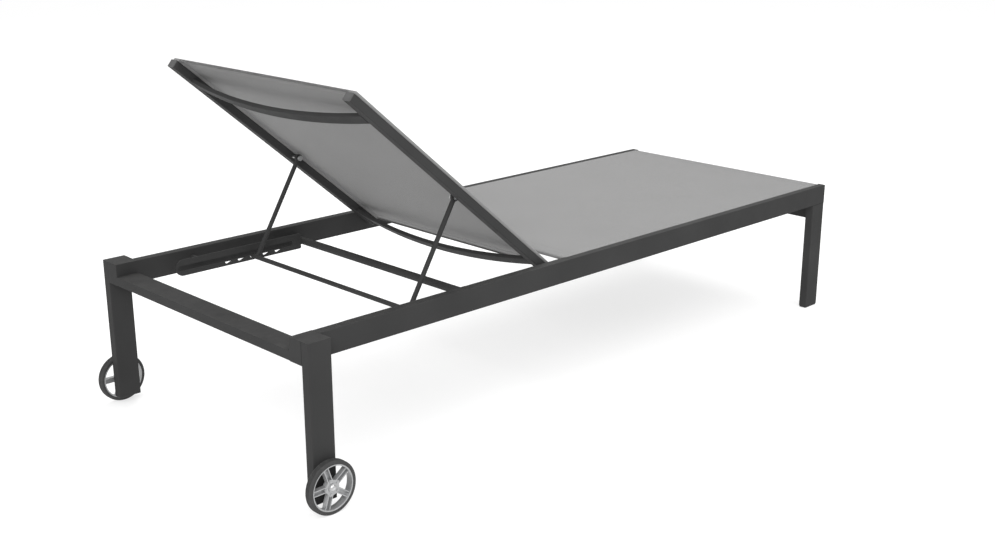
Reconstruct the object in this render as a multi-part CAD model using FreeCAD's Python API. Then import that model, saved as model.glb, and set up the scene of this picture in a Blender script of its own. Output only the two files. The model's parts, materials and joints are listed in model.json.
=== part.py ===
import FreeCAD, Part
import math
import os

os.makedirs("parts", exist_ok=True)
V = FreeCAD.Vector

# Reclining sun lounger, millimetres, +Z up, floor at z = 0.
# +X runs from the head end to the foot end, +Y is the left side of the person lying on it.
# Lengths called *_x are measured from the head end of the frame and are turned into
# true X by HEAD_X, which puts the origin in the middle of the whole object's box.

# ---- driving dimensions ----
FRAME_LENGTH = 2000.0
FRAME_HEIGHT = 388.0
RAIL_OUTER_Y = 386.25
BAR_WIDTH = 25.0
BAR_DEPTH = 60.0
RAIL_DEPTH = 57.0
WALL = 2.0
EDGE_R = 2.0

HEAD_LEG_OUTER_Y = 427.0
HEAD_LEG_BOTTOM_Z = 22.0
CORNER_DEPTH = 55.0

WHEEL_R = 62.0
WHEEL_X = 31.0
TYRE_INNER_Y = 434.0
TYRE_OUTER_Y = 453.5

HINGE_X = 779.3
HINGE_Z = 370.5
REST_ANGLE = 40.0
BACK_OUTER_Y = 358.0
BACK_BAR_DEPTH = 20.3
BACK_TOP = 771.1
BACK_BOTTOM = -22.2
BAIL_PIVOT = 337.8

ROD_R = 6.0
ROD_X = 374.7
ROD_Z = 343.1
ROD_END_Y = 328.0
ARM_Y = 306.0

RACK_INNER_Y = 329.0
RACK_THICK = 3.0
RACK_X = (146.5, 532.6)
RACK_Z = (331.5, 373.8)
LANE_Z = 351.2
LANE_R = 6.8
LANE_X = (150.5, 506.0)
NOTCH_PITCH = 38.9
NOTCH_COUNT = 5
NOTCH_R = 6.2
NOTCH_RAMP = 22.0

SEAT_X = (841.5, 1997.5)
SLING_THICK = 2.0
SEAT_SLING_MID_Z = 386.8

# ---- derived values ----
HEAD_X = -(FRAME_LENGTH + WHEEL_X - WHEEL_R) / 2.0
RAIL_INNER_Y = RAIL_OUTER_Y - BAR_WIDTH
RAIL_BOTTOM_Z = FRAME_HEIGHT - RAIL_DEPTH
CORNER_BOTTOM_Z = FRAME_HEIGHT - CORNER_DEPTH
HEAD_LEG_INNER_Y = HEAD_LEG_OUTER_Y - BAR_WIDTH
BACK_INNER_Y = BACK_OUTER_Y - BAR_WIDTH
BACK_HALF = BACK_BAR_DEPTH / 2.0
HEAD_BAR_LENGTH = 59.5
SLIP = 0.1


def block(x0, x1, y0, y1, z0, z1):
    """Box between limits; x is measured from the head end."""
    return Part.makeBox(x1 - x0, y1 - y0, z1 - z0, V(HEAD_X + x0, y0, z0))


def ease(shape, radius, axis):
    """Rounds the straight edges that run along one axis (0 = X, 1 = Y, 2 = Z)."""
    edges = []
    for edge in shape.Edges:
        run = edge.Vertexes[-1].Point - edge.Vertexes[0].Point
        along = [abs(run.x), abs(run.y), abs(run.z)]
        if along[axis] > 1.0 and sum(along) - along[axis] < 1e-4:
            edges.append(edge)
    return shape.makeFillet(radius, edges)


def pin(x, z, y0, y1, radius):
    """Cylinder along Y; x is measured from the head end."""
    return Part.makeCylinder(radius, y1 - y0, V(HEAD_X + x, y0, z), V(0, 1, 0))


def ring(x, z, y0, y1, outer, inner):
    """Plain bush or washer along Y."""
    return pin(x, z, y0, y1, outer).cut(pin(x, z, y0 - 1.0, y1 + 1.0, inner))


def hexagon(x, z, y0, y1, across_flats):
    """Hexagon nut blank along Y."""
    radius = across_flats / math.sqrt(3.0)
    points = []
    for i in range(7):
        angle = math.radians(60.0 * i)
        points.append(V(HEAD_X + x + radius * math.cos(angle), y0, z + radius * math.sin(angle)))
    return Part.Face(Part.makePolygon(points)).extrude(V(0, y1 - y0, 0))


def mirrored(shape):
    """The same piece on the other side of the lounger."""
    return shape.mirror(V(0, 0, 0), V(0, 1, 0))


def both(shape):
    """One group of two identical pieces, one on each side."""
    return Part.makeCompound([shape, mirrored(shape)])


def save(name, shape):
    shape.exportStep("parts/" + name + ".step")


def save_pair(name, shape):
    """Left is +Y, right is -Y."""
    save(name + "_left", shape)
    save(name + "_right", mirrored(shape))


# ---- side rails, with a rebate and a bead groove for the seat sling in the top face ----
GROOVE_Y = RAIL_INNER_Y + 3.7
GROOVE_Z = 382.6
GROOVE_R = 2.5
GROOVE_SLOT = 2.6
REBATE_Z = SEAT_SLING_MID_Z - SLING_THICK / 2.0 - 0.3
RAIL_SOLID_TOP = 12.0
RAIL_CAP = 2.0
CAVITY_TOP_Z = FRAME_HEIGHT - RAIL_SOLID_TOP
RAIL_END_X = FRAME_LENGTH - RAIL_CAP
SCREW_R = 2.5
HINGE_PIN_R = 4.0
RACK_SCREWS = ((215.0, 366.0), (521.0, 351.0))

rail = ease(block(HEAD_BAR_LENGTH, RAIL_END_X, RAIL_INNER_Y, RAIL_OUTER_Y,
                  RAIL_BOTTOM_Z, FRAME_HEIGHT), EDGE_R, 0)
rail = rail.cut(block(HEAD_BAR_LENGTH - 1.0, FRAME_LENGTH, RAIL_INNER_Y + WALL,
                      RAIL_OUTER_Y - WALL, RAIL_BOTTOM_Z + WALL, CAVITY_TOP_Z))
groove_x = SEAT_X[0] - 2.0
groove = Part.makeCylinder(GROOVE_R, FRAME_LENGTH - groove_x,
                           V(HEAD_X + groove_x, GROOVE_Y, GROOVE_Z), V(1, 0, 0))
mouth = block(groove_x, FRAME_LENGTH, GROOVE_Y - GROOVE_SLOT / 2.0,
              GROOVE_Y + GROOVE_SLOT / 2.0, GROOVE_Z, FRAME_HEIGHT + 1.0)
rebate = block(groove_x, FRAME_LENGTH, RAIL_INNER_Y - 1.0, GROOVE_Y + GROOVE_SLOT / 2.0,
               REBATE_Z, FRAME_HEIGHT + 1.0)
rail = rail.cut(groove.fuse([mouth, rebate]))
rail = rail.cut(pin(HINGE_X, HINGE_Z, RAIL_INNER_Y - 1.0, RAIL_INNER_Y + WALL + 1.0,
                    HINGE_PIN_R + 0.05))
for screw_x, screw_z in RACK_SCREWS:
    rail = rail.cut(pin(screw_x, screw_z, RAIL_INNER_Y - 1.0, RAIL_INNER_Y + WALL + 1.0,
                        SCREW_R + 0.05))
save_pair("side_rail", rail)

CAP_INSERT = 18.0
cap = ease(block(RAIL_END_X, FRAME_LENGTH, RAIL_INNER_Y, RAIL_OUTER_Y,
                 RAIL_BOTTOM_Z, FRAME_HEIGHT), EDGE_R, 0)
cap = cap.fuse(block(RAIL_END_X - CAP_INSERT, RAIL_END_X, RAIL_INNER_Y + WALL + SLIP,
                     RAIL_OUTER_Y - WALL - SLIP, RAIL_BOTTOM_Z + WALL + SLIP,
                     CAVITY_TOP_Z - SLIP))
save("rail_end_caps", both(cap))

# ---- head end: corner block, leg and flat crossbar ----
CORNER_SPIGOT = 36.0
corner = block(0.0, HEAD_BAR_LENGTH, RAIL_INNER_Y, HEAD_LEG_INNER_Y,
               CORNER_BOTTOM_Z, FRAME_HEIGHT)
corner = ease(corner, 1.0, 1)
corner = corner.fuse(block(HEAD_BAR_LENGTH, HEAD_BAR_LENGTH + CORNER_SPIGOT,
                           RAIL_INNER_Y + WALL + SLIP, RAIL_OUTER_Y - WALL - SLIP,
                           CORNER_BOTTOM_Z + SLIP, CAVITY_TOP_Z - SLIP))
save_pair("head_corner", corner)

PLUG_FLANGE = 2.0
PLUG_INSERT = 18.0
leg = ease(block(0.0, HEAD_BAR_LENGTH, HEAD_LEG_INNER_Y, HEAD_LEG_OUTER_Y,
                 HEAD_LEG_BOTTOM_Z + PLUG_FLANGE, FRAME_HEIGHT), EDGE_R, 2)
leg = leg.cut(block(WALL, HEAD_BAR_LENGTH - WALL, HEAD_LEG_INNER_Y + WALL,
                    HEAD_LEG_OUTER_Y - WALL, HEAD_LEG_BOTTOM_Z, FRAME_HEIGHT - 2.0 * WALL))
AXLE_R = 4.0
leg = leg.cut(pin(WHEEL_X, WHEEL_R, HEAD_LEG_OUTER_Y - WALL - 1.0, HEAD_LEG_OUTER_Y + 1.0,
                  AXLE_R + 0.05))
save_pair("head_leg", leg)

plug = ease(block(0.0, HEAD_BAR_LENGTH, HEAD_LEG_INNER_Y, HEAD_LEG_OUTER_Y,
                  HEAD_LEG_BOTTOM_Z, HEAD_LEG_BOTTOM_Z + PLUG_FLANGE), EDGE_R, 2)
plug = plug.fuse(block(WALL + SLIP, HEAD_BAR_LENGTH - WALL - SLIP,
                       HEAD_LEG_INNER_Y + WALL + SLIP, HEAD_LEG_OUTER_Y - WALL - SLIP,
                       HEAD_LEG_BOTTOM_Z + PLUG_FLANGE,
                       HEAD_LEG_BOTTOM_Z + PLUG_FLANGE + PLUG_INSERT))
save("head_leg_plugs", both(plug))

HEAD_BAR_Z = (333.5, 356.4)
crossbar = ease(block(0.0, HEAD_BAR_LENGTH, -RAIL_INNER_Y, RAIL_INNER_Y,
                      HEAD_BAR_Z[0], HEAD_BAR_Z[1]), EDGE_R, 1)
crossbar = crossbar.cut(block(WALL, HEAD_BAR_LENGTH - WALL, -RAIL_INNER_Y - 1.0,
                              RAIL_INNER_Y + 1.0, HEAD_BAR_Z[0] + WALL, HEAD_BAR_Z[1] - WALL))
save("head_crossbar", crossbar)

# ---- foot end: leg, glide and upright crossbar ----
GLIDE_HEIGHT = 4.0
GLIDE_INSET = 1.0
FOOT_LEG_X = FRAME_LENGTH - BAR_DEPTH
foot_leg = ease(block(FOOT_LEG_X, FRAME_LENGTH, RAIL_INNER_Y, RAIL_OUTER_Y,
                      GLIDE_HEIGHT, RAIL_BOTTOM_Z), EDGE_R, 2)
foot_leg = foot_leg.cut(block(FOOT_LEG_X + WALL, FRAME_LENGTH - WALL, RAIL_INNER_Y + WALL,
                              RAIL_OUTER_Y - WALL, 0.0, RAIL_BOTTOM_Z + 1.0))
save_pair("foot_leg", foot_leg)

glide = ease(block(FOOT_LEG_X + GLIDE_INSET, FRAME_LENGTH - GLIDE_INSET,
                   RAIL_INNER_Y + GLIDE_INSET, RAIL_OUTER_Y - GLIDE_INSET,
                   0.0, GLIDE_HEIGHT), EDGE_R, 2)
glide = glide.fuse(block(FOOT_LEG_X + WALL + SLIP, FRAME_LENGTH - WALL - SLIP,
                         RAIL_INNER_Y + WALL + SLIP, RAIL_OUTER_Y - WALL - SLIP,
                         GLIDE_HEIGHT, GLIDE_HEIGHT + PLUG_INSERT))
save("foot_glides", both(glide))

FOOT_BAR_Z = 284.5
FOOT_BAR_X = FRAME_LENGTH - BAR_DEPTH / 2.0 - BAR_WIDTH / 2.0
foot_bar = ease(block(FOOT_BAR_X, FOOT_BAR_X + BAR_WIDTH, -RAIL_INNER_Y, RAIL_INNER_Y,
                      FOOT_BAR_Z, FOOT_BAR_Z + BAR_DEPTH), EDGE_R, 1)
foot_bar = foot_bar.cut(block(FOOT_BAR_X + WALL, FOOT_BAR_X + BAR_WIDTH - WALL,
                              -RAIL_INNER_Y - 1.0, RAIL_INNER_Y + 1.0,
                              FOOT_BAR_Z + WALL, FOOT_BAR_Z + BAR_DEPTH - WALL))
save("foot_crossbar", foot_bar)

# ---- round tube that braces the rails behind the racks ----
BRACE_TUBE = (543.0, 350.0)
BRACE_TUBE_R = 10.0
save("brace_tube", ring(BRACE_TUBE[0], BRACE_TUBE[1], -RAIL_INNER_Y, RAIL_INNER_Y,
                        BRACE_TUBE_R, BRACE_TUBE_R - 1.5))


# ---- notched racks ----
def capsule(x0, z0, x1, z1, radius):
    """Slot cutter along Y between two points, with round ends."""
    y0 = RACK_INNER_Y - 1.0
    y1 = RACK_INNER_Y + RACK_THICK + 1.0
    length = math.hypot(x1 - x0, z1 - z0)
    nx = -(z1 - z0) / length * radius
    nz = (x1 - x0) / length * radius
    corners = [(x0 + nx, z0 + nz), (x1 + nx, z1 + nz), (x1 - nx, z1 - nz), (x0 - nx, z0 - nz)]
    points = [V(HEAD_X + x, y0, z) for x, z in corners + corners[:1]]
    body = Part.Face(Part.makePolygon(points)).extrude(V(0, y1 - y0, 0))
    return body.fuse([pin(x0, z0, y0, y1, radius), pin(x1, z1, y0, y1, radius)])


def notch(seat_x):
    """Cutter for one notch: round seat, upright head side, ramp up to the lane on the foot side."""
    ramp = math.radians(NOTCH_RAMP)
    foot_x = seat_x + NOTCH_R * math.sin(ramp)
    foot_z = ROD_Z - NOTCH_R * math.cos(ramp)
    rise = LANE_Z - LANE_R - foot_z + 1.0
    corners = [(seat_x - NOTCH_R, ROD_Z), (seat_x - NOTCH_R, LANE_Z),
               (foot_x + rise / math.tan(ramp), LANE_Z),
               (foot_x + rise / math.tan(ramp), foot_z + rise), (foot_x, foot_z),
               (seat_x, ROD_Z)]
    points = [V(HEAD_X + x, RACK_INNER_Y - 1.0, z) for x, z in corners + corners[:1]]
    body = Part.Face(Part.makePolygon(points)).extrude(V(0, RACK_THICK + 2.0, 0))
    return body.fuse(pin(seat_x, ROD_Z, RACK_INNER_Y - 1.0, RACK_INNER_Y + RACK_THICK + 1.0,
                         NOTCH_R))


rack_mid_z = (RACK_Z[0] + RACK_Z[1]) / 2.0
rack_end_r = (RACK_Z[1] - RACK_Z[0]) / 2.0
RACK_FOOT_R = 4.0
rack_outer_y = RACK_INNER_Y + RACK_THICK
rack = block(RACK_X[0] + rack_end_r, RACK_X[1] - RACK_FOOT_R, RACK_INNER_Y, rack_outer_y,
             RACK_Z[0], RACK_Z[1])
rack_foot = ease(block(RACK_X[1] - 4.0 * RACK_FOOT_R, RACK_X[1], RACK_INNER_Y, rack_outer_y,
                       RACK_Z[0], RACK_Z[1]), RACK_FOOT_R, 1)
rack = rack.fuse([rack_foot, pin(RACK_X[0] + rack_end_r, rack_mid_z, RACK_INNER_Y,
                                 rack_outer_y, rack_end_r)])
rack = rack.removeSplitter()
rack = rack.cut(capsule(LANE_X[0] + LANE_R, LANE_Z, LANE_X[1] - LANE_R, LANE_Z, LANE_R))
for i in range(NOTCH_COUNT):
    seat_x = ROD_X + NOTCH_PITCH * (i - NOTCH_COUNT // 2)
    rack = rack.cut(notch(seat_x))

SCREW_HEAD_R = 5.0
SCREW_HEAD_DEPTH = 2.4
SCREW_SUNK = 0.3


def rack_screw(x, z, slack):
    """Countersunk screw; slack makes the matching hole."""
    y0 = RACK_INNER_Y + SCREW_SUNK
    cone = Part.makeCone(SCREW_HEAD_R + slack, SCREW_R + slack, SCREW_HEAD_DEPTH,
                         V(HEAD_X + x, y0, z), V(0, 1, 0))
    return cone.fuse(pin(x, z, y0 + SCREW_HEAD_DEPTH, RAIL_INNER_Y + WALL + 4.0,
                         SCREW_R + slack))


SPACER_R = (6.0, 7.0)
screws = []
for (screw_x, screw_z), spacer_r, name in zip(RACK_SCREWS, SPACER_R, ("head", "foot")):
    rack = rack.cut(rack_screw(screw_x, screw_z, 0.05))
    rack = rack.cut(pin(screw_x, screw_z, RACK_INNER_Y - 1.0, RACK_INNER_Y + SCREW_SUNK + 0.01,
                        SCREW_HEAD_R + 0.05))
    spacer = ring(screw_x, screw_z, rack_outer_y, RAIL_INNER_Y, spacer_r, SCREW_R + 0.1)
    save("rack_spacers_" + name, both(spacer))
    screws.append(rack_screw(screw_x, screw_z, 0.0))
    screws.append(mirrored(screws[-1]))
save_pair("rack", rack)
save("rack_screws", Part.makeCompound(screws))

# ---- seat sling: a flat cloth with a bead along each side, over a rod at each end ----
HEM_ROD_R = 3.5
HEM_GAP = 0.3
BEAD_R = 2.2
half = SLING_THICK / 2.0
sling_edge = GROOVE_Y + half
seat = block(SEAT_X[0], SEAT_X[1], -sling_edge, sling_edge,
             SEAT_SLING_MID_Z - half, SEAT_SLING_MID_Z + half)
beads = []
for side in (-1.0, 1.0):
    y0 = side * GROOVE_Y - half
    beads.append(block(SEAT_X[0], SEAT_X[1], y0, y0 + SLING_THICK, GROOVE_Z, SEAT_SLING_MID_Z))
    beads.append(Part.makeCylinder(BEAD_R, SEAT_X[1] - SEAT_X[0],
                                   V(HEAD_X + SEAT_X[0], side * GROOVE_Y, GROOVE_Z),
                                   V(1, 0, 0)))
save("seat_sling", seat.fuse(beads))

hem_z = SEAT_SLING_MID_Z - half - HEM_GAP - HEM_ROD_R
hem_rods = []
for hem_x in (SEAT_X[0] + HEM_ROD_R + 0.5, SEAT_X[1] - HEM_ROD_R - 0.5):
    hem_rods.append(pin(hem_x, hem_z, -RAIL_INNER_Y, RAIL_INNER_Y, HEM_ROD_R))
save("seat_hem_rods", Part.makeCompound(hem_rods))

# ---- backrest hinge: shoulder bolt, threaded insert in the rail, flanged bush ----
BUSH_R = 5.5
BUSH_FLANGE_R = 9.0
HINGE_HEAD_R = 6.5
HINGE_HEAD = 3.0
HINGE_PLAY = 0.2
head_y = BACK_INNER_Y - HINGE_PLAY
hinge_bolt = pin(HINGE_X, HINGE_Z, head_y - HINGE_HEAD, head_y, HINGE_HEAD_R)
hinge_bolt = hinge_bolt.fuse(pin(HINGE_X, HINGE_Z, head_y, RAIL_INNER_Y + WALL + 6.0,
                                 HINGE_PIN_R))
save("hinge_bolts", both(hinge_bolt))
insert = ring(HINGE_X, HINGE_Z, RAIL_INNER_Y + WALL, RAIL_INNER_Y + WALL + 6.0,
              5.4, HINGE_PIN_R)
save("hinge_inserts", both(insert))
bush = ring(HINGE_X, HINGE_Z, BACK_INNER_Y, BACK_OUTER_Y, BUSH_R, HINGE_PIN_R + 0.05)
bush = bush.fuse(ring(HINGE_X, HINGE_Z, BACK_OUTER_Y, RAIL_INNER_Y - HINGE_PLAY,
                      BUSH_FLANGE_R, HINGE_PIN_R + 0.05))
save("hinge_bushes", both(bush))


# ---- backrest, drawn lying flat from the hinge and then raised to its rest angle ----
def lay(r0, r1, y0, y1, n0, n1):
    """Box on the flat backrest: r from the hinge towards the head, n above its centre line."""
    return block(HINGE_X - r1, HINGE_X - r0, y0, y1, HINGE_Z + n0, HINGE_Z + n1)


def raised(shape):
    """Turns a piece of the flat backrest up to the rest angle."""
    turned = shape.copy()
    turned.rotate(V(HEAD_X + HINGE_X, 0, HINGE_Z), V(0, 1, 0), REST_ANGLE)
    return turned


BACK_WALL = 1.8
BACK_CAP = 2.0
back_rail = ease(lay(BACK_BOTTOM + BACK_CAP, BACK_TOP - BACK_CAP, BACK_INNER_Y, BACK_OUTER_Y,
                     -BACK_HALF, BACK_HALF), EDGE_R, 0)
back_rail = back_rail.cut(lay(BACK_BOTTOM, BACK_TOP, BACK_INNER_Y + BACK_WALL,
                              BACK_OUTER_Y - BACK_WALL, BACK_WALL - BACK_HALF,
                              BACK_HALF - BACK_WALL))
back_rail = back_rail.cut(pin(HINGE_X, HINGE_Z, BACK_INNER_Y - 1.0, BACK_OUTER_Y + 1.0, BUSH_R))
BAIL_PIN_R = 4.0
bail_pivot_x = HINGE_X - BAIL_PIVOT
back_rail = back_rail.cut(pin(bail_pivot_x, HINGE_Z, BACK_INNER_Y - 1.0,
                              BACK_INNER_Y + BACK_WALL + 1.0, BAIL_PIN_R))
save_pair("backrest_rail", raised(back_rail))

BACK_CAP_INSERT = 13.0
caps = []
for end_r, inward in ((BACK_TOP, -1.0), (BACK_BOTTOM, 1.0)):
    face_r = end_r + inward * BACK_CAP
    tail_r = face_r + inward * BACK_CAP_INSERT
    plate = ease(lay(min(end_r, face_r), max(end_r, face_r), BACK_INNER_Y, BACK_OUTER_Y,
                     -BACK_HALF, BACK_HALF), EDGE_R, 0)
    stub = lay(min(face_r, tail_r), max(face_r, tail_r), BACK_INNER_Y + BACK_WALL + SLIP,
               BACK_OUTER_Y - BACK_WALL - SLIP, BACK_WALL + SLIP - BACK_HALF,
               BACK_HALF - BACK_WALL - SLIP)
    caps.append(plate.fuse(stub))
    caps.append(mirrored(caps[-1]))
save("backrest_end_caps", raised(Part.makeCompound(caps)))

# ---- bowed braces between the backrest rails ----
BOW_WIDTH = 30.0
BOW_THICK = 10.0
BOW_EDGE_R = 1.5
BOW_EDGE_STEPS = 3


def bow(r0, end_n, sag):
    """Flat bar bowed away from the sling; end_n is its back face at the rails."""
    low_z = HINGE_Z + end_n - sag
    bow_r = (BACK_INNER_Y ** 2 + sag ** 2) / (2.0 * sag)
    mid_x = HINGE_X - r0 - BOW_WIDTH / 2.0
    mid_z = low_z + BOW_THICK / 2.0
    points = []
    for corner in range(4):
        sx = (1.0, -1.0, -1.0, 1.0)[corner]
        sz = (1.0, 1.0, -1.0, -1.0)[corner]
        for step in range(BOW_EDGE_STEPS + 1):
            turn = math.radians(90.0 * (corner + step / BOW_EDGE_STEPS))
            x = mid_x + sx * (BOW_WIDTH / 2.0 - BOW_EDGE_R) + BOW_EDGE_R * math.cos(turn)
            z = mid_z + sz * (BOW_THICK / 2.0 - BOW_EDGE_R) + BOW_EDGE_R * math.sin(turn)
            points.append(V(HEAD_X + x, 0, z))
    section = Part.Face(Part.makePolygon(points + points[:1]))
    centre = V(0, 0, low_z + bow_r)
    spread = math.degrees(math.asin(BACK_INNER_Y / bow_r)) + 1.0
    section.rotate(centre, V(1, 0, 0), -spread)
    sweep = section.revolve(centre, V(1, 0, 0), 2.0 * spread)
    span = block(mid_x - BOW_WIDTH, mid_x + BOW_WIDTH, -BACK_INNER_Y, BACK_INNER_Y,
                 low_z - BOW_THICK, low_z + sag + 3.0 * BOW_THICK)
    return raised(sweep.common(span))


save("backrest_brace_upper", bow(677.8, -10.85, 30.0))
save("backrest_brace_lower", bow(27.8, -9.85, 31.0))

# ---- backrest sling: flat cloth whose sides lap down onto the rails ----
SLING_TOP = 17.35
BACK_SLING_TOP_R = 766.3
cloth = lay(BACK_BOTTOM, BACK_SLING_TOP_R, -BACK_OUTER_Y, BACK_OUTER_Y,
            SLING_TOP - SLING_THICK, SLING_TOP)
laps = []
for y0 in (-BACK_OUTER_Y, BACK_INNER_Y):
    laps.append(lay(BACK_BOTTOM, BACK_SLING_TOP_R, y0, y0 + BAR_WIDTH, BACK_HALF,
                    SLING_TOP - SLING_THICK))
cloth = cloth.fuse(laps).removeSplitter()
save("backrest_sling", raised(cloth))

# ---- support bail: eye, arm and cross rod, turning on pins in the backrest rails ----
ARM_R = 5.8
EYE_R = 10.0
EYE_HALF = 4.0
PIN_HEAD_R = 7.0
PIN_HEAD = 3.0
WASHER = 2.2
COLLAR = 3.0
PLAY = 0.2
eye_in_y = ARM_Y - EYE_HALF
eye_out_y = ARM_Y + EYE_HALF
head_out_y = eye_in_y - WASHER - 2.0 * PLAY

bail_pin = pin(bail_pivot_x, HINGE_Z, head_out_y - PIN_HEAD, head_out_y, PIN_HEAD_R)
bail_pin = bail_pin.fuse([
    pin(bail_pivot_x, HINGE_Z, head_out_y, BACK_INNER_Y + BACK_WALL + 5.0, BAIL_PIN_R),
    pin(bail_pivot_x, HINGE_Z, eye_out_y + PLAY, eye_out_y + PLAY + COLLAR, BAIL_PIN_R + 2.0)])
save("bail_pins", raised(both(bail_pin)))

angle = math.radians(REST_ANGLE)
pivot_x = HINGE_X - BAIL_PIVOT * math.cos(angle)
pivot_z = HINGE_Z + BAIL_PIVOT * math.sin(angle)
washer = ring(pivot_x, pivot_z, eye_in_y - PLAY - WASHER, eye_in_y - PLAY,
              PIN_HEAD_R + 0.5, BAIL_PIN_R + 0.05)
save("bail_washers", both(washer))

eye = pin(pivot_x, pivot_z, eye_in_y, eye_out_y, EYE_R)
reach = V(ROD_X - pivot_x, 0, ROD_Z - pivot_z)
arm = Part.makeCylinder(ARM_R, reach.Length - ARM_R, V(HEAD_X + pivot_x, ARM_Y, pivot_z), reach)
arm = arm.cut([pin(pivot_x, pivot_z, eye_out_y, eye_out_y + EYE_R, EYE_R + 3.0),
               pin(pivot_x, pivot_z, eye_in_y - EYE_R, eye_in_y, EYE_R + 3.0)])
stub = Part.makeCylinder(ARM_R, 2.0 * ARM_R, V(HEAD_X + ROD_X, ARM_Y, ROD_Z), -reach)
stub = stub.cut(pin(ROD_X, ROD_Z, ARM_Y - 2.0 * ROD_R, ARM_Y + 2.0 * ROD_R, ROD_R))
arm = arm.fuse([eye, stub]).removeSplitter()
arm = arm.cut(pin(pivot_x, pivot_z, eye_in_y - 1.0, eye_out_y + 1.0, BAIL_PIN_R + 0.05))
save_pair("bail_arm", arm)
bail_rod = pin(ROD_X, ROD_Z, -ROD_END_Y, ROD_END_Y, ROD_R)
rims = [edge for edge in bail_rod.Edges if edge.Closed]
save("bail_rod", bail_rod.makeFillet(1.0, rims))

# ---- wheels: tyre on a five-spoke rim, turning on a bolt through a bush ----
RIM_R = 52.3
LIP_R = 53.2
BARREL_R = 50.0
HUB_INNER_Y = 432.2
HUB_OUTER_Y = 452.6
SPOKES = 5
SPOKE_WIDTH = 13.0
RIB = 2.0
SPOKE_FLOOR_Y = (441.0, 443.0)
SPOKE_RIB_Y = (438.0, 450.0)
PENTAGON_R = 21.5
WHEEL_BUSH_R = 6.5
SHOULDER_R = 4.5
TREAD_GROOVE = 1.4


def spun(points):
    """Turned part: (radius, y) points swept about the wheel axle."""
    corners = [V(HEAD_X + WHEEL_X + radius, y, WHEEL_R) for radius, y in points + points[:1]]
    face = Part.Face(Part.makePolygon(corners))
    return face.revolve(V(HEAD_X + WHEEL_X, 0, WHEEL_R), V(0, 1, 0), 360)


tyre_points = [(LIP_R + 0.1, TYRE_INNER_Y), (LIP_R + 0.1, TYRE_INNER_Y + 2.4),
               (RIM_R + 0.05, TYRE_INNER_Y + 2.4), (RIM_R + 0.05, TYRE_OUTER_Y - 3.0),
               (LIP_R + 0.1, TYRE_OUTER_Y - 3.0), (LIP_R + 0.1, TYRE_OUTER_Y)]
SHOULDER_STEPS = 6
for i in range(SHOULDER_STEPS + 1):
    turn = math.radians(90.0 * i / SHOULDER_STEPS)
    tyre_points.append((WHEEL_R - SHOULDER_R + SHOULDER_R * math.sin(turn),
                        TYRE_OUTER_Y - SHOULDER_R + SHOULDER_R * math.cos(turn)))
tyre_mid_y = (TYRE_INNER_Y + TYRE_OUTER_Y) / 2.0
GROOVE_PITCH = 3.6
for i in (1, 0, -1):
    groove_y = tyre_mid_y + i * GROOVE_PITCH
    tyre_points.append((WHEEL_R, groove_y + TREAD_GROOVE / 2.0))
    tyre_points.append((WHEEL_R - TREAD_GROOVE, groove_y + TREAD_GROOVE / 3.0))
    tyre_points.append((WHEEL_R - TREAD_GROOVE, groove_y - TREAD_GROOVE / 3.0))
    tyre_points.append((WHEEL_R, groove_y - TREAD_GROOVE / 2.0))
for i in range(SHOULDER_STEPS + 1):
    turn = math.radians(90.0 * (1.0 - i / SHOULDER_STEPS))
    tyre_points.append((WHEEL_R - SHOULDER_R + SHOULDER_R * math.sin(turn),
                        TYRE_INNER_Y + SHOULDER_R - SHOULDER_R * math.cos(turn)))
save_pair("tyre", spun(tyre_points))

barrel = spun([(BARREL_R, TYRE_INNER_Y + 0.4), (LIP_R, TYRE_INNER_Y + 0.4),
               (LIP_R, TYRE_INNER_Y + 2.3), (RIM_R, TYRE_INNER_Y + 2.3),
               (RIM_R, TYRE_OUTER_Y - 2.9), (LIP_R, TYRE_OUTER_Y - 2.9),
               (LIP_R, TYRE_OUTER_Y - 0.8), (BARREL_R + 1.0, TYRE_OUTER_Y - 0.4),
               (BARREL_R, TYRE_OUTER_Y - 1.2)])
rim_parts = []
pentagon = []
for i in range(SPOKES):
    turn_deg = 36.0 + 360.0 / SPOKES * i
    turn = math.radians(turn_deg)
    pentagon.append(V(HEAD_X + WHEEL_X + PENTAGON_R * math.cos(turn), SPOKE_RIB_Y[0],
                      WHEEL_R + PENTAGON_R * math.sin(turn)))
    start_x = WHEEL_X + WHEEL_BUSH_R + 4.0
    end_x = WHEEL_X + BARREL_R + 1.0
    low_z = WHEEL_R - SPOKE_WIDTH / 2.0
    floor = block(start_x, end_x, SPOKE_FLOOR_Y[0], SPOKE_FLOOR_Y[1], low_z,
                  low_z + SPOKE_WIDTH)
    rib_low = block(start_x, end_x, SPOKE_RIB_Y[0], SPOKE_RIB_Y[1], low_z, low_z + RIB)
    rib_high = rib_low.copy()
    rib_high.translate(V(0, 0, SPOKE_WIDTH - RIB))
    bump = pin(WHEEL_X + PENTAGON_R - 6.0, WHEEL_R, SPOKE_RIB_Y[1], SPOKE_RIB_Y[1] + 1.8, 2.8)
    for piece in (floor, rib_low, rib_high, bump):
        piece.rotate(V(HEAD_X + WHEEL_X, 0, WHEEL_R), V(0, 1, 0), -turn_deg)
        rim_parts.append(piece)
plate = Part.Face(Part.makePolygon(pentagon + pentagon[:1]))
rim_parts.append(plate.extrude(V(0, SPOKE_RIB_Y[1] - SPOKE_RIB_Y[0], 0)))
rim_parts.append(pin(WHEEL_X, WHEEL_R, HUB_INNER_Y, HUB_OUTER_Y, WHEEL_BUSH_R + 4.0))
rim = barrel.fuse(rim_parts)
rim = rim.cut(pin(WHEEL_X, WHEEL_R, HUB_INNER_Y - 1.0, HUB_OUTER_Y + 1.0, WHEEL_BUSH_R))
rim = rim.common(pin(WHEEL_X, WHEEL_R, HUB_INNER_Y - 1.0, TYRE_OUTER_Y + 1.0, LIP_R + 1.0))
save_pair("wheel_rim", rim.removeSplitter())
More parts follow.
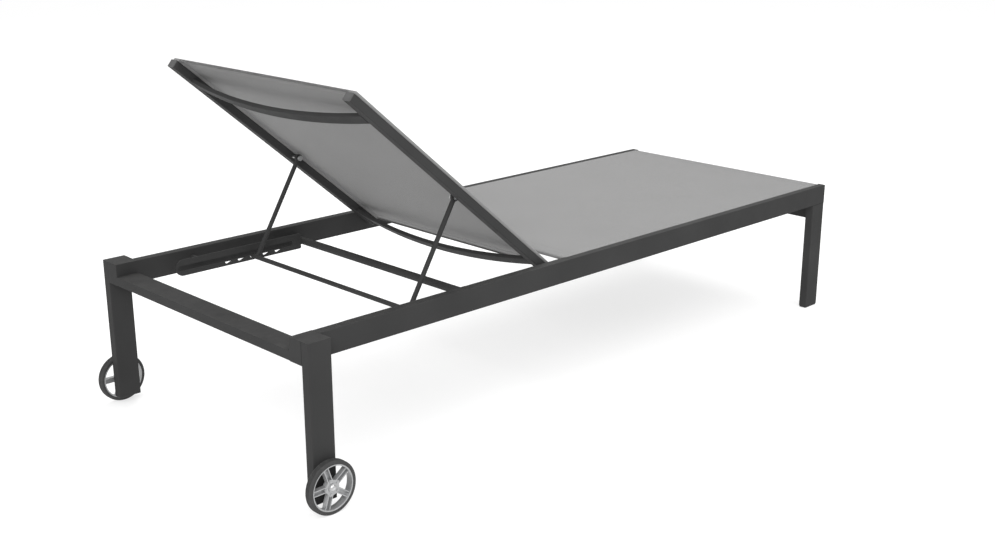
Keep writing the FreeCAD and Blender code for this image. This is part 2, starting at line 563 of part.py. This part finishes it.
save_pair("wheel_bush", ring(WHEEL_X, WHEEL_R, HUB_INNER_Y, HUB_OUTER_Y, WHEEL_BUSH_R,
                             AXLE_R + 0.05))

BOLT_HEAD_R = 7.5
BOLT_DOME = 4.0
bolt_head_y = HUB_OUTER_Y + PLAY
axle = pin(WHEEL_X, WHEEL_R, HEAD_LEG_OUTER_Y - 12.0, bolt_head_y, AXLE_R)
dome_r = (BOLT_HEAD_R ** 2 + BOLT_DOME ** 2) / (2.0 * BOLT_DOME)
dome = Part.makeSphere(dome_r, V(HEAD_X + WHEEL_X, bolt_head_y + BOLT_DOME - dome_r, WHEEL_R))
dome = dome.common(pin(WHEEL_X, WHEEL_R, bolt_head_y, bolt_head_y + BOLT_DOME + 1.0,
                       BOLT_HEAD_R))
save("axle_bolts", both(axle.fuse(dome)))
save("axle_spacers", both(ring(WHEEL_X, WHEEL_R, HEAD_LEG_OUTER_Y, HUB_INNER_Y - SLIP,
                               8.0, AXLE_R + 0.05)))
nut_y = HEAD_LEG_OUTER_Y - WALL
nut = hexagon(WHEEL_X, WHEEL_R, nut_y - 6.5, nut_y, 13.0)
nut = nut.cut(pin(WHEEL_X, WHEEL_R, nut_y - 8.0, nut_y + 1.0, AXLE_R))
save("axle_nuts", both(nut))
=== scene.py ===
"""Looks of the reclining sun lounger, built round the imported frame. Metres, row frame."""
import json
import math

import bpy
from mathutils import Matrix, Vector, noise


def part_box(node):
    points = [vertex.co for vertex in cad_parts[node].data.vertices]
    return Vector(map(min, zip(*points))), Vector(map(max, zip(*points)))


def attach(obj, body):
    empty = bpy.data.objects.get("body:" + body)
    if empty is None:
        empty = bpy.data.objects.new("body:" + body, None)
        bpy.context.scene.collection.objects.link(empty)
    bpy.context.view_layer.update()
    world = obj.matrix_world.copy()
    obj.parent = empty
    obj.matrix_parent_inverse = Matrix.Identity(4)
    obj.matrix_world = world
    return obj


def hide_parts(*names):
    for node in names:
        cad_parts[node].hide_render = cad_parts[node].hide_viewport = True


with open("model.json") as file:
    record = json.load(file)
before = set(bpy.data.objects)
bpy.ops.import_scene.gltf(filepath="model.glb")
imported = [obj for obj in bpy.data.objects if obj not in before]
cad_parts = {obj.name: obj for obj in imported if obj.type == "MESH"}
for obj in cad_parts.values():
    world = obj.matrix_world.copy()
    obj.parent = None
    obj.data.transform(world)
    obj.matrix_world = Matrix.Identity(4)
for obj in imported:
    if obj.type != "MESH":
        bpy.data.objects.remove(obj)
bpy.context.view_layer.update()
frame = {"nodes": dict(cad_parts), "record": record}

MM = 0.001

# ------------------------------------------------------------------ node helper


class Shader:
    """A Principled material whose textures sit in the piece's own coordinates."""

    def __init__(self, name, coord="Object", **sockets):
        self.mat = bpy.data.materials.new(name)
        self.mat.use_nodes = True
        self.tree = self.mat.node_tree
        self.bsdf = self.tree.nodes["Principled BSDF"]
        self.coord = self.node("ShaderNodeTexCoord").outputs[coord]
        for key, value in sockets.items():
            self.bsdf.inputs[key.replace("_", " ")].default_value = value

    def node(self, kind, **settings):
        made = self.tree.nodes.new(kind)
        for key, value in settings.items():
            setattr(made, key, value)
        return made

    def plug(self, source, target):
        if hasattr(source, "is_output"):
            self.tree.links.new(source, target)
        else:
            target.default_value = source

    def math(self, operation, a, b=0.0, c=0.0, clamp=False):
        made = self.node("ShaderNodeMath", operation=operation, use_clamp=clamp)
        for value, socket in zip((a, b, c), made.inputs):
            self.plug(value, socket)
        return made.outputs[0]

    def stretched(self, scale):
        made = self.node("ShaderNodeMapping")
        self.plug(self.coord, made.inputs["Vector"])
        made.inputs["Scale"].default_value = scale
        return made.outputs["Vector"]

    def noise(self, scale, detail=3.0, rough=0.55, stretch=(1, 1, 1)):
        made = self.node("ShaderNodeTexNoise")
        self.plug(self.stretched(stretch), made.inputs["Vector"])
        made.inputs["Scale"].default_value = scale
        made.inputs["Detail"].default_value = detail
        made.inputs["Roughness"].default_value = rough
        return made.outputs["Fac"]

    def cells(self, scale):
        made = self.node("ShaderNodeTexVoronoi", feature="F1")
        self.plug(self.coord, made.inputs["Vector"])
        made.inputs["Scale"].default_value = scale
        return made.outputs["Distance"]

    def remap(self, value, low, high, out_low, out_high):
        made = self.node("ShaderNodeMapRange")
        for given, socket in zip((value, low, high, out_low, out_high), made.inputs):
            self.plug(given, socket)
        return made.outputs["Result"]

    def blend(self, factor, a, b):
        made = self.node("ShaderNodeMix", data_type="RGBA")
        self.plug(factor, made.inputs[0])
        for value, socket in ((a, made.inputs[6]), (b, made.inputs[7])):
            self.plug(value if hasattr(value, "is_output") else (*value, 1.0), socket)
        return made.outputs[2]

    def bump(self, height, distance, strength=1.0, below=None):
        made = self.node("ShaderNodeBump")
        made.inputs["Strength"].default_value = strength
        made.inputs["Distance"].default_value = distance
        self.plug(height, made.inputs["Height"])
        if below is not None:
            self.plug(below, made.inputs["Normal"])
        return made.outputs["Normal"]

    def up(self):
        made = self.node("ShaderNodeSeparateXYZ")
        self.plug(self.node("ShaderNodeNewGeometry").outputs["Normal"], made.inputs[0])
        return made.outputs["Z"]

    def finish(self, colour, rough, normal):
        self.plug(colour, self.bsdf.inputs["Base Color"])
        self.plug(rough, self.bsdf.inputs["Roughness"])
        self.plug(normal, self.bsdf.inputs["Normal"])
        return self.mat


def grey(value, warm=0.0):
    return (value * (1.0 + warm), value, value * (1.0 - warm))


# ------------------------------------------------------------------ materials


def powder_coat(name, tone, rough):
    """Semi-matt powder coat: orange peel, fine speckle, a little dust on what faces up."""
    s = Shader(name, Specular_IOR_Level=0.05)
    broad = s.noise(5.0, 2.0)
    speck = s.noise(1400.0, 2.0, 0.6)
    colour = s.blend(s.remap(broad, 0.3, 0.7, 0.0, 1.0), grey(tone * 0.9), grey(tone * 1.12))
    colour = s.blend(s.remap(speck, 0.35, 0.75, 0.0, 0.35), colour, grey(tone * 1.3))
    dust = s.math("MULTIPLY", s.remap(s.up(), 0.6, 1.0, 0.0, 1.0),
                  s.remap(s.noise(38.0, 4.0), 0.35, 0.8, 0.02, 0.16))
    colour = s.blend(dust, colour, grey(0.13, 0.03))
    roughness = s.math("ADD", s.remap(s.noise(26.0, 4.0), 0.3, 0.7, rough - 0.05, rough + 0.06),
                       s.math("MULTIPLY", dust, 0.8))
    normal = s.bump(s.noise(330.0, 2.0, 0.5), 0.00009, 0.5)
    normal = s.bump(speck, 0.00004, 0.6, normal)
    return s.finish(colour, roughness, normal)


def mesh_cloth(name, tone):
    """Coated yarn mesh: over and under weave on UVs laid out in metres, with painted shade where
    the yarns dip.
    """
    s = Shader(name, coord="UV", Sheen_Weight=0.12, Sheen_Roughness=0.45,
               Specular_IOR_Level=0.35)
    split = s.node("ShaderNodeSeparateXYZ")
    s.plug(s.coord, split.inputs[0])
    yarns = 1.0 / (1.5 * MM)
    wave = []
    for axis in ("X", "Y"):
        turns = s.math("MULTIPLY", split.outputs[axis], yarns * math.pi)
        wave.append(s.math("SINE", turns))
    across = s.math("ABSOLUTE", wave[0])
    along = s.math("ABSOLUTE", wave[1])
    over = s.math("GREATER_THAN", s.math("MULTIPLY", wave[0], wave[1]), 0.0)
    warp = s.math("MULTIPLY", across, s.math("MULTIPLY_ADD", along, 0.45, 0.55))
    weft = s.math("MULTIPLY", along, s.math("MULTIPLY_ADD", across, 0.45, 0.55))
    lift = s.math("ADD", s.math("MULTIPLY", over, warp),
                  s.math("MULTIPLY", s.math("SUBTRACT", 1.0, over), weft))
    yarn = s.blend(over, grey(tone * 1.16), grey(tone * 0.98, 0.01))
    slub = s.math("ADD", s.noise(1.0, 3.0, 0.6, (520.0, 6.0, 1.0)),
                  s.noise(1.0, 3.0, 0.6, (6.0, 520.0, 1.0)))
    streak = s.remap(slub, 0.75, 1.25, 0.94, 1.06)
    cloudy = s.remap(s.noise(4.5, 3.0), 0.3, 0.7, 0.975, 1.025)
    # Darker where the yarns dip at their crossings and edges: painted shade in the weave's
    # hollows, multiplied with real slub streaks and cloudy tone.
    slub_tone_and_painted_weave_shade = s.math("MULTIPLY", s.math("MULTIPLY", streak, cloudy),
                   s.remap(lift, 0.0, 0.75, 0.72, 1.04))
    yarn_colour_with_painted_shade = s.node("ShaderNodeVectorMath", operation="SCALE")
    s.plug(yarn, yarn_colour_with_painted_shade.inputs[0])
    s.plug(slub_tone_and_painted_weave_shade, yarn_colour_with_painted_shade.inputs["Scale"])
    roughness = s.remap(lift, 0.0, 1.0, 0.86, 0.62)
    normal = s.bump(s.noise(22.0, 3.0), 0.0008, 0.12)
    normal = s.bump(lift, 0.00022, 0.7, normal)
    return s.finish(yarn_colour_with_painted_shade.outputs[0], roughness, normal)


def thread(name, tone):
    """Twisted sewing thread."""
    s = Shader(name, Sheen_Weight=0.2)
    twist = s.noise(2600.0, 2.0)
    colour = s.blend(twist, grey(tone * 0.8), grey(tone * 1.15))
    return s.finish(colour, s.remap(twist, 0.2, 0.8, 0.55, 0.8), s.bump(twist, 0.00006, 0.6))


def rubber(name, tone):
    """Tyre rubber: fine moulded grain, paler scuffs and dust."""
    s = Shader(name, Specular_IOR_Level=0.22)
    scuff = s.remap(s.noise(90.0, 6.0, 0.7), 0.52, 0.78, 0.0, 0.45)
    grain = s.noise(1900.0, 3.0, 0.6)
    colour = s.blend(s.remap(s.noise(14.0, 3.0), 0.3, 0.7, 0.0, 1.0), grey(tone * 0.85),
                     grey(tone * 1.2))
    colour = s.blend(scuff, colour, grey(tone * 2.1, 0.03))
    roughness = s.remap(grain, 0.3, 0.7, 0.62, 0.86)
    return s.finish(colour, roughness, s.bump(grain, 0.00012, 0.55))


def silver(name, tone):
    """Silver-painted wheel moulding: flake sparkle and a satin coat."""
    s = Shader(name, Metallic=0.5, Coat_Weight=0.1, Coat_Roughness=0.3)
    flake = s.remap(s.cells(2400.0), 0.0, 0.6, 0.9, 1.1)
    cloud = s.remap(s.noise(30.0, 3.0), 0.3, 0.7, 0.94, 1.05)
    grime = s.remap(s.noise(120.0, 5.0, 0.7), 0.58, 0.8, 0.0, 0.3)
    base = s.node("ShaderNodeVectorMath", operation="SCALE")
    base.inputs[0].default_value = grey(tone, -0.01)
    s.plug(s.math("MULTIPLY", flake, cloud), base.inputs["Scale"])
    colour = s.blend(grime, base.outputs[0], grey(tone * 0.62, 0.02))
    roughness = s.remap(s.noise(75.0, 4.0), 0.3, 0.7, 0.3, 0.46)
    return s.finish(colour, roughness, s.bump(s.noise(700.0, 2.0), 0.00005, 0.4))


def steel(name):
    """Zinc-plated steel with fine turning marks and dull patches."""
    s = Shader(name, Metallic=1.0)
    lines = s.noise(1.0, 2.0, 0.6, (300.0, 4000.0, 300.0))
    patch = s.noise(160.0, 4.0, 0.65)
    colour = s.blend(s.remap(patch, 0.35, 0.7, 0.0, 1.0), grey(0.62, -0.015), grey(0.45, 0.01))
    roughness = s.math("ADD", s.remap(patch, 0.3, 0.7, 0.22, 0.4),
                       s.remap(lines, 0.3, 0.7, -0.04, 0.06))
    return s.finish(colour, roughness, s.bump(lines, 0.00004, 0.4))


def moulded(name, tone, rough):
    """Injection-moulded plastic with a spark-eroded grain."""
    s = Shader(name, Specular_IOR_Level=0.2)
    grain = s.cells(1500.0)
    soft = s.noise(60.0, 4.0)
    colour = s.blend(s.remap(soft, 0.3, 0.7, 0.0, 1.0), grey(tone * 0.88), grey(tone * 1.14))
    roughness = s.remap(soft, 0.3, 0.7, rough - 0.06, rough + 0.08)
    return s.finish(colour, roughness, s.bump(grain, 0.00005, 0.45))


paint = powder_coat("anthracite_powder_coat", 0.037, 0.60)
seat_cloth = mesh_cloth("seat_mesh_cloth", 0.180)
back_cloth = mesh_cloth("backrest_mesh_cloth", 0.180)
SLOT_MATERIALS = {
    "frame_paint": paint,
    "tyre_rubber": rubber("tyre_rubber", 0.043),
    "rim_silver": silver("wheel_silver", 0.35),
    "bolt_steel": steel("zinc_plated_steel"),
    "cap_plastic": moulded("black_moulded_plastic", 0.036, 0.5),
    "backrest_cap_plastic": moulded("grey_moulded_plastic", 0.075, 0.5),
    "nylon": moulded("dark_nylon", 0.03, 0.42),
    "seat_fabric": seat_cloth,
    "backrest_fabric": back_cloth,
}
node_slots = {part["node"]: part["material_slot"] for part in frame["record"]["subparts"]}
for node, obj in frame["nodes"].items():
    obj.data.materials.clear()
    obj.data.materials.append(SLOT_MATERIALS[node_slots[node]])

# ------------------------------------------------------------------ mesh helpers


def make_piece(name, verts, faces, material, uvs=None, smooth=True):
    mesh = bpy.data.meshes.new(name)
    mesh.from_pydata([tuple(v) for v in verts], [], faces)
    if uvs is not None:
        layer = mesh.uv_layers.new(name="cloth")
        for loop in mesh.loops:
            layer.data[loop.index].uv = uvs[loop.vertex_index]
    for polygon in mesh.polygons:
        polygon.use_smooth = smooth
    mesh.materials.append(material)
    mesh.validate()
    mesh.update()
    obj = bpy.data.objects.new(name, mesh)
    bpy.context.scene.collection.objects.link(obj)
    return obj


def ribbon_sides(path, thick):
    """The two faces of a ribbon that follows (x, z) points."""
    left, right = [], []
    for i, (x, z) in enumerate(path):
        ax, az = path[max(i - 1, 0)]
        bx, bz = path[min(i + 1, len(path) - 1)]
        length = math.hypot(bx - ax, bz - az)
        nx, nz = -(bz - az) / length, (bx - ax) / length
        left.append((x + nx * thick / 2, z + nz * thick / 2))
        right.append((x - nx * thick / 2, z - nz * thick / 2))
    return left, right


def ease(t):
    """Smooth step from 0 to 1."""
    t = min(max(t, 0.0), 1.0)
    return t * t * (3.0 - 2.0 * t)


def run_lengths(points):
    """Distance along a run of flat points, from its start to each of them."""
    lengths = [0.0]
    for (ax, az), (bx, bz) in zip(points, points[1:]):
        lengths.append(lengths[-1] + math.hypot(bx - ax, bz - az))
    return lengths


def band_faces(rings, count):
    """Quads between closed rings of count points each."""
    faces = []
    for k in range(rings - 1):
        here, there = k * count, (k + 1) * count
        for i in range(count):
            j = (i + 1) % count
            faces.append((here + i, here + j, there + j, there + i))
    return faces


# ------------------------------------------------------------------ seat sling

seat_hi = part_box("seat_sling")[1]
rod_lo, rod_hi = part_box("seat_hem_rods")
rail_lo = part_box("side_rail_left")[0]
CLOTH = 1.1 * MM
ROD_R = (rod_hi.z - rod_lo.z) / 2.0
rod_z = (rod_hi.z + rod_lo.z) / 2.0
head_rod_x = rod_lo.x + ROD_R
foot_rod_x = rod_hi.x - ROD_R
sheet_z = seat_hi.z - CLOTH / 2.0
LOOP_R = ROD_R + 0.3 * MM + CLOTH / 2.0
HEM = 40.0 * MM
flap_z = sheet_z - CLOTH - 0.15 * MM
SEAT_HALF = seat_hi.y - 0.3 * MM
LOOP_HALF = rail_lo.y - 1.0 * MM
SEAT_DIP = 2.2 * MM
SEAT_DIP_RUN = 0.14
TURN_DOWN = 2.4 * MM


def hem_path(rod_x, inward):
    """From the flap's end, under and round the rod, to the top of the loop."""
    points = [(rod_x + inward * HEM * (1.0 - 0.5 * t), flap_z) for t in (0.0, 0.5, 1.0)]
    points.append((rod_x + inward * 13.0 * MM, flap_z - 0.6 * MM))
    for step in range(15):
        turn = math.radians(-52.0 - 218.0 * step / 14.0)
        points.append((rod_x + inward * LOOP_R * math.cos(turn), rod_z + LOOP_R * math.sin(turn)))
    return points


def seat_columns():
    """Places across the seat, closer together where its edge turns down."""
    inner = SEAT_HALF - TURN_DOWN
    side = [inner * i / 62.0 for i in range(1, 63)]
    side += [SEAT_HALF - gap * MM for gap in (1.1, 0.35, 0.0)]
    return [-y for y in side[::-1]] + [0.0] + side


def seat_sling():
    head = hem_path(head_rod_x, 1.0)
    foot = hem_path(foot_rod_x, -1.0)
    start = head_rod_x + 5.0 * MM
    end = foot_rod_x - 5.0 * MM
    steps = 150
    middle = [(start + (end - start) * i / steps, sheet_z) for i in range(steps + 1)]
    path = head + middle + foot[::-1]
    upper, lower = ribbon_sides(path, CLOTH)
    run = run_lengths(path)
    loop = list(zip(upper, run)) + list(zip(lower[::-1], run[::-1]))
    columns = seat_columns()
    verts, uvs = [], []
    for y in columns:
        slack = 1.0 - (y / SEAT_HALF) ** 2
        fold = max(1.0 - (SEAT_HALF - abs(y)) / TURN_DOWN, 0.0)
        for (x, z), along in loop:
            from_end = min(x - head_rod_x, foot_rod_x - x)
            flat_part = z > flap_z + CLOTH / 2.0 + 0.1 * MM and from_end > 4.9 * MM
            ripple = noise.noise(Vector((x * 9.0, y * 6.0, 3.1))) * 0.3 * MM
            z += (ripple - SEAT_DIP) * slack * ease(from_end / SEAT_DIP_RUN)
            if flat_part:
                verts.append((x, y, z - 2.6 * MM * fold ** 2))
            else:
                verts.append((x, y * LOOP_HALF / SEAT_HALF, z))
            uvs.append((y, along))
    count = len(loop)
    last = (len(columns) - 1) * count
    faces = band_faces(len(columns), count)
    faces.append(tuple(range(count - 1, -1, -1)))
    faces.append(tuple(last + i for i in range(count)))
    return make_piece("seat_sling_cloth", verts, faces, seat_cloth, uvs)


seat = seat_sling()
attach(seat, "frame")
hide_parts("seat_sling")

# ------------------------------------------------------------------ backrest sling

hinge = next(j for j in frame["record"]["behaviour"]["joints"] if j["name"] == "backrest_recline")
HINGE = Vector(hinge["pos_m"])
REST = math.radians(40.0)
TURN = Matrix.Rotation(REST, 4, "Y")
# Along the backrest from the hinge, and above its centre line.
SLING_R = (-22.2 * MM, 766.3 * MM)
SLING_N = 17.35 * MM
RAIL_N = 10.15 * MM
BACK_Y = (333.0 * MM, 358.0 * MM)
BACK_DIP = 2.4 * MM
BACK_DIP_RUN = 0.16


def on_back(r, y, n):
    """A point of the backrest, given lying flat, at its rest angle."""
    return HINGE + TURN @ Vector((-r, y, n))


def arc(cy, cn, radius, start, stop, steps):
    turns = [math.radians(start + (stop - start) * i / steps) for i in range(steps + 1)]
    return [(cy + radius * math.cos(a), cn + radius * math.sin(a)) for a in turns]


def back_section():
    """Half of the sling's section as (y, n, kind): over the top, round the lap, back under."""
    inner, outer = BACK_Y
    base = RAIL_N + 0.15 * MM
    top = []
    for i in range(25):
        top.append((inner * i / 24.0, SLING_N, "sheet"))
    top.append((inner + 3.0 * MM, SLING_N - 0.25 * MM, "seam"))
    top.append((inner + 6.0 * MM, SLING_N, "lap"))
    top.append((outer - 8.0 * MM, SLING_N + 0.1 * MM, "lap"))
    lap = arc(outer - 3.0 * MM, SLING_N - 2.9 * MM, 3.0 * MM, 90.0, 0.0, 6)
    lap += arc(outer - 1.5 * MM, base + 1.5 * MM, 1.5 * MM, 0.0, -90.0, 4)
    lap += arc(inner + 1.2 * MM, base + 1.2 * MM, 1.2 * MM, -90.0, -180.0, 3)
    under = [(inner - 0.02 * MM, SLING_N - CLOTH - 0.9 * MM, "lap"),
             (inner - 1.2 * MM, SLING_N - CLOTH, "sheet")]
    for i in range(23, -1, -1):
        under.append((inner * i / 24.0, SLING_N - CLOTH, "sheet"))
    return top + [(y, n, "lap") for y, n in lap] + under


def back_rows_along(length):
    """Places along the backrest, closer together at both hems."""
    end = [r * MM for r in (0.0, 0.25, 0.6, 1.0, 2.0, 12.0, 23.0, 24.5, 26.0)]
    steps = 110
    middle = [end[-1] + (length - 2 * end[-1]) * i / steps for i in range(1, steps)]
    return end + middle + [length - r for r in end[::-1]]


def back_point(r, edge, y, n, kind):
    """One point of the sling: the edge rounded off, the sheet dipping between the rails."""
    square = 1.0 - min(edge / (1.0 * MM), 1.0)
    round_off = 0.35 + 0.65 * math.sqrt(1.0 - square ** 2)
    if kind == "lap" or kind == "seam":
        centre = (SLING_N + RAIL_N) / 2.0
        n = centre + (n - centre) * (0.86 + 0.14 * round_off)
        return on_back(r, y - math.copysign((1.0 - round_off) * 0.8 * MM, y), n)
    mid_n = SLING_N - CLOTH / 2.0
    give = ease(edge / BACK_DIP_RUN)
    slack = 1.0 - (y / BACK_Y[0]) ** 2
    if n < mid_n and edge < 23.5 * MM:
        n -= 1.0 * MM
    n = mid_n + (n - mid_n) * round_off
    n -= BACK_DIP * slack * (0.35 + 0.65 * give)
    n += noise.noise(Vector((r * 8.0, y * 6.0, 7.7))) * 0.35 * MM * slack * give
    return on_back(r, y, n)


def back_end(base, count, flip):
    """Closes one end of the sling with a strip of faces across its section."""
    faces = []
    for i in range((count + 2) // 2 - 2):
        face = [base + i, base + i + 1, base + (count - i - 1) % count]
        if i > 0:
            face.append(base + count - i)
        faces.append(tuple(face[::-1] if flip else face))
    return faces


def back_sling():
    half = back_section()
    section = half + [(-y, n, kind) for y, n, kind in half[::-1]][1:-1]
    spans = run_lengths([(y, n) for y, n, _ in section])
    length = SLING_R[1] - SLING_R[0]
    rows = back_rows_along(length)
    verts, uvs = [], []
    for along in rows:
        r = SLING_R[0] + along
        edge = min(along, length - along)
        for (y, n, kind), span in zip(section, spans):
            verts.append(back_point(r, edge, y, n, kind))
            uvs.append((span, r))
    count = len(section)
    faces = band_faces(len(rows), count)
    faces += back_end(0, count, True)
    faces += back_end((len(rows) - 1) * count, count, False)
    return make_piece("backrest_sling_cloth", verts, faces, back_cloth, uvs)


back = back_sling()
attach(back, "backrest")
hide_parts("backrest_sling")

# ------------------------------------------------------------------ stitching


def stitch_rows(name, rows, body):
    """Each row is (start, end, up, lift at t); one lozenge of thread per stitch."""
    verts, faces = [], []
    for start, end, up, lift in rows:
        run = end - start
        along = run.normalized()
        side = along.cross(up).normalized()
        number = int(run.length / (4.4 * MM))
        for i in range(number):
            t = (i + 0.5) / number
            centre = start + run * t + up * lift(t)
            base = len(verts)
            half, wide, high = 1.55 * MM, 0.42 * MM, 0.34 * MM
            verts.append(centre - along * half)
            for part in (-0.55, 0.55):
                for turn in range(6):
                    a = math.pi * 2.0 * turn / 6.0
                    verts.append(centre + along * half * part + side * wide * math.cos(a)
                                 + up * high * math.sin(a))
            verts.append(centre + along * half)
            for turn in range(6):
                nxt = (turn + 1) % 6
                faces.append((base, base + 1 + nxt, base + 1 + turn))
                faces.append((base + 1 + turn, base + 1 + nxt, base + 7 + nxt, base + 7 + turn))
                faces.append((base + 13, base + 7 + turn, base + 7 + nxt))
    made = make_piece(name, verts, faces, stitch_thread)
    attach(made, body)
    return made


def sagging(dip):
    """How far a stitch at share t of its row lies above the straight line."""
    return lambda t: -dip * (1.0 - (2.0 * t - 1.0) ** 2)


def seat_rows():
    rows = []
    z = sheet_z + CLOTH / 2.0 + 0.08 * MM
    for rod_x, inward in ((head_rod_x, 1.0), (foot_rod_x, -1.0)):
        for step in (17.0 * MM, 35.0 * MM):
            x = rod_x + inward * step
            rows.append((Vector((x, -0.358, z)), Vector((x, 0.358, z)), Vector((0, 0, 1)),
                         sagging(SEAT_DIP * ease(step / SEAT_DIP_RUN))))
    return rows


def back_rows():
    rows = []
    up = TURN.to_3x3() @ Vector((0, 0, 1))
    for r, inward in ((SLING_R[0], 1.0), (SLING_R[1], -1.0)):
        for step in (6.0 * MM, 21.0 * MM):
            start, end = (on_back(r + inward * step, y, SLING_N + 0.08 * MM)
                          for y in (-0.329, 0.329))
            dip = BACK_DIP * (0.35 + 0.65 * ease(step / BACK_DIP_RUN))
            rows.append((start, end, up, sagging(dip)))
    for side in (-1.0, 1.0):
        start, end = (on_back(r, side * (BACK_Y[0] + 3.0 * MM), SLING_N - 0.15 * MM)
                      for r in (SLING_R[0] + 3.0 * MM, SLING_R[1] - 3.0 * MM))
        rows.append((start, end, up, sagging(0.0)))
    return rows


stitch_thread = thread("sewing_thread", 0.14)
seat_stitches = stitch_rows("seat_sling_stitches", seat_rows(), "frame")
back_stitches = stitch_rows("backrest_sling_stitches", back_rows(), "backrest")

# ------------------------------------------------------------------ floor, light, camera


def studio():
    scene = bpy.context.scene
    scene.view_settings.view_transform = "Standard"
    world = bpy.data.worlds.new("studio")
    scene.world = world
    world.use_nodes = True
    world.node_tree.nodes["Background"].inputs["Color"].default_value = (1.0, 1.0, 1.0, 1.0)
    world.node_tree.nodes["Background"].inputs["Strength"].default_value = 0.8

    floor_shader = Shader("pale_floor", Specular_IOR_Level=0.0, Emission_Strength=0.66,
                          Emission_Color=(1.0, 1.0, 1.0, 1.0))
    mottle = floor_shader.noise(2.0, 2.0)
    colour = floor_shader.blend(mottle, grey(0.39), grey(0.41))
    floor_material = floor_shader.finish(colour, 0.9, floor_shader.bump(mottle, 0.0001, 0.05))
    reach = 30.0
    corners = [(-reach, -reach, 0.0), (reach, -reach, 0.0), (reach, reach, 0.0),
               (-reach, reach, 0.0)]
    floor = make_piece("floor", corners, [(0, 1, 2, 3)], floor_material, smooth=False)

    for name, place, size, power in (
            ("key", (0.6, -3.2, 5.2), 4.0, 110.0),
            ("top", (1.0, 1.5, 5.5), 5.0, 170.0),
            ("behind", (-4.5, -3.0, 3.5), 3.0, 170.0)):
        light = bpy.data.lights.new(name, "AREA")
        light.shape = "DISK"
        light.size = size
        light.energy = power
        holder = bpy.data.objects.new(name, light)
        holder.location = place
        holder.rotation_euler = (-Vector(place)).to_track_quat("-Z", "Y").to_euler()
        scene.collection.objects.link(holder)


def camera():
    data = bpy.data.cameras.new("view")
    data.sensor_width = 36.0
    data.lens = 46.963
    data.clip_end = 200.0
    holder = bpy.data.objects.new("view", data)
    holder.location = (-2.4499, -2.4821, 1.3068)
    holder.rotation_euler = (math.radians(72.62), 0.0, math.radians(-44.34))
    bpy.context.scene.collection.objects.link(holder)
    bpy.context.scene.camera = holder


studio()
camera()
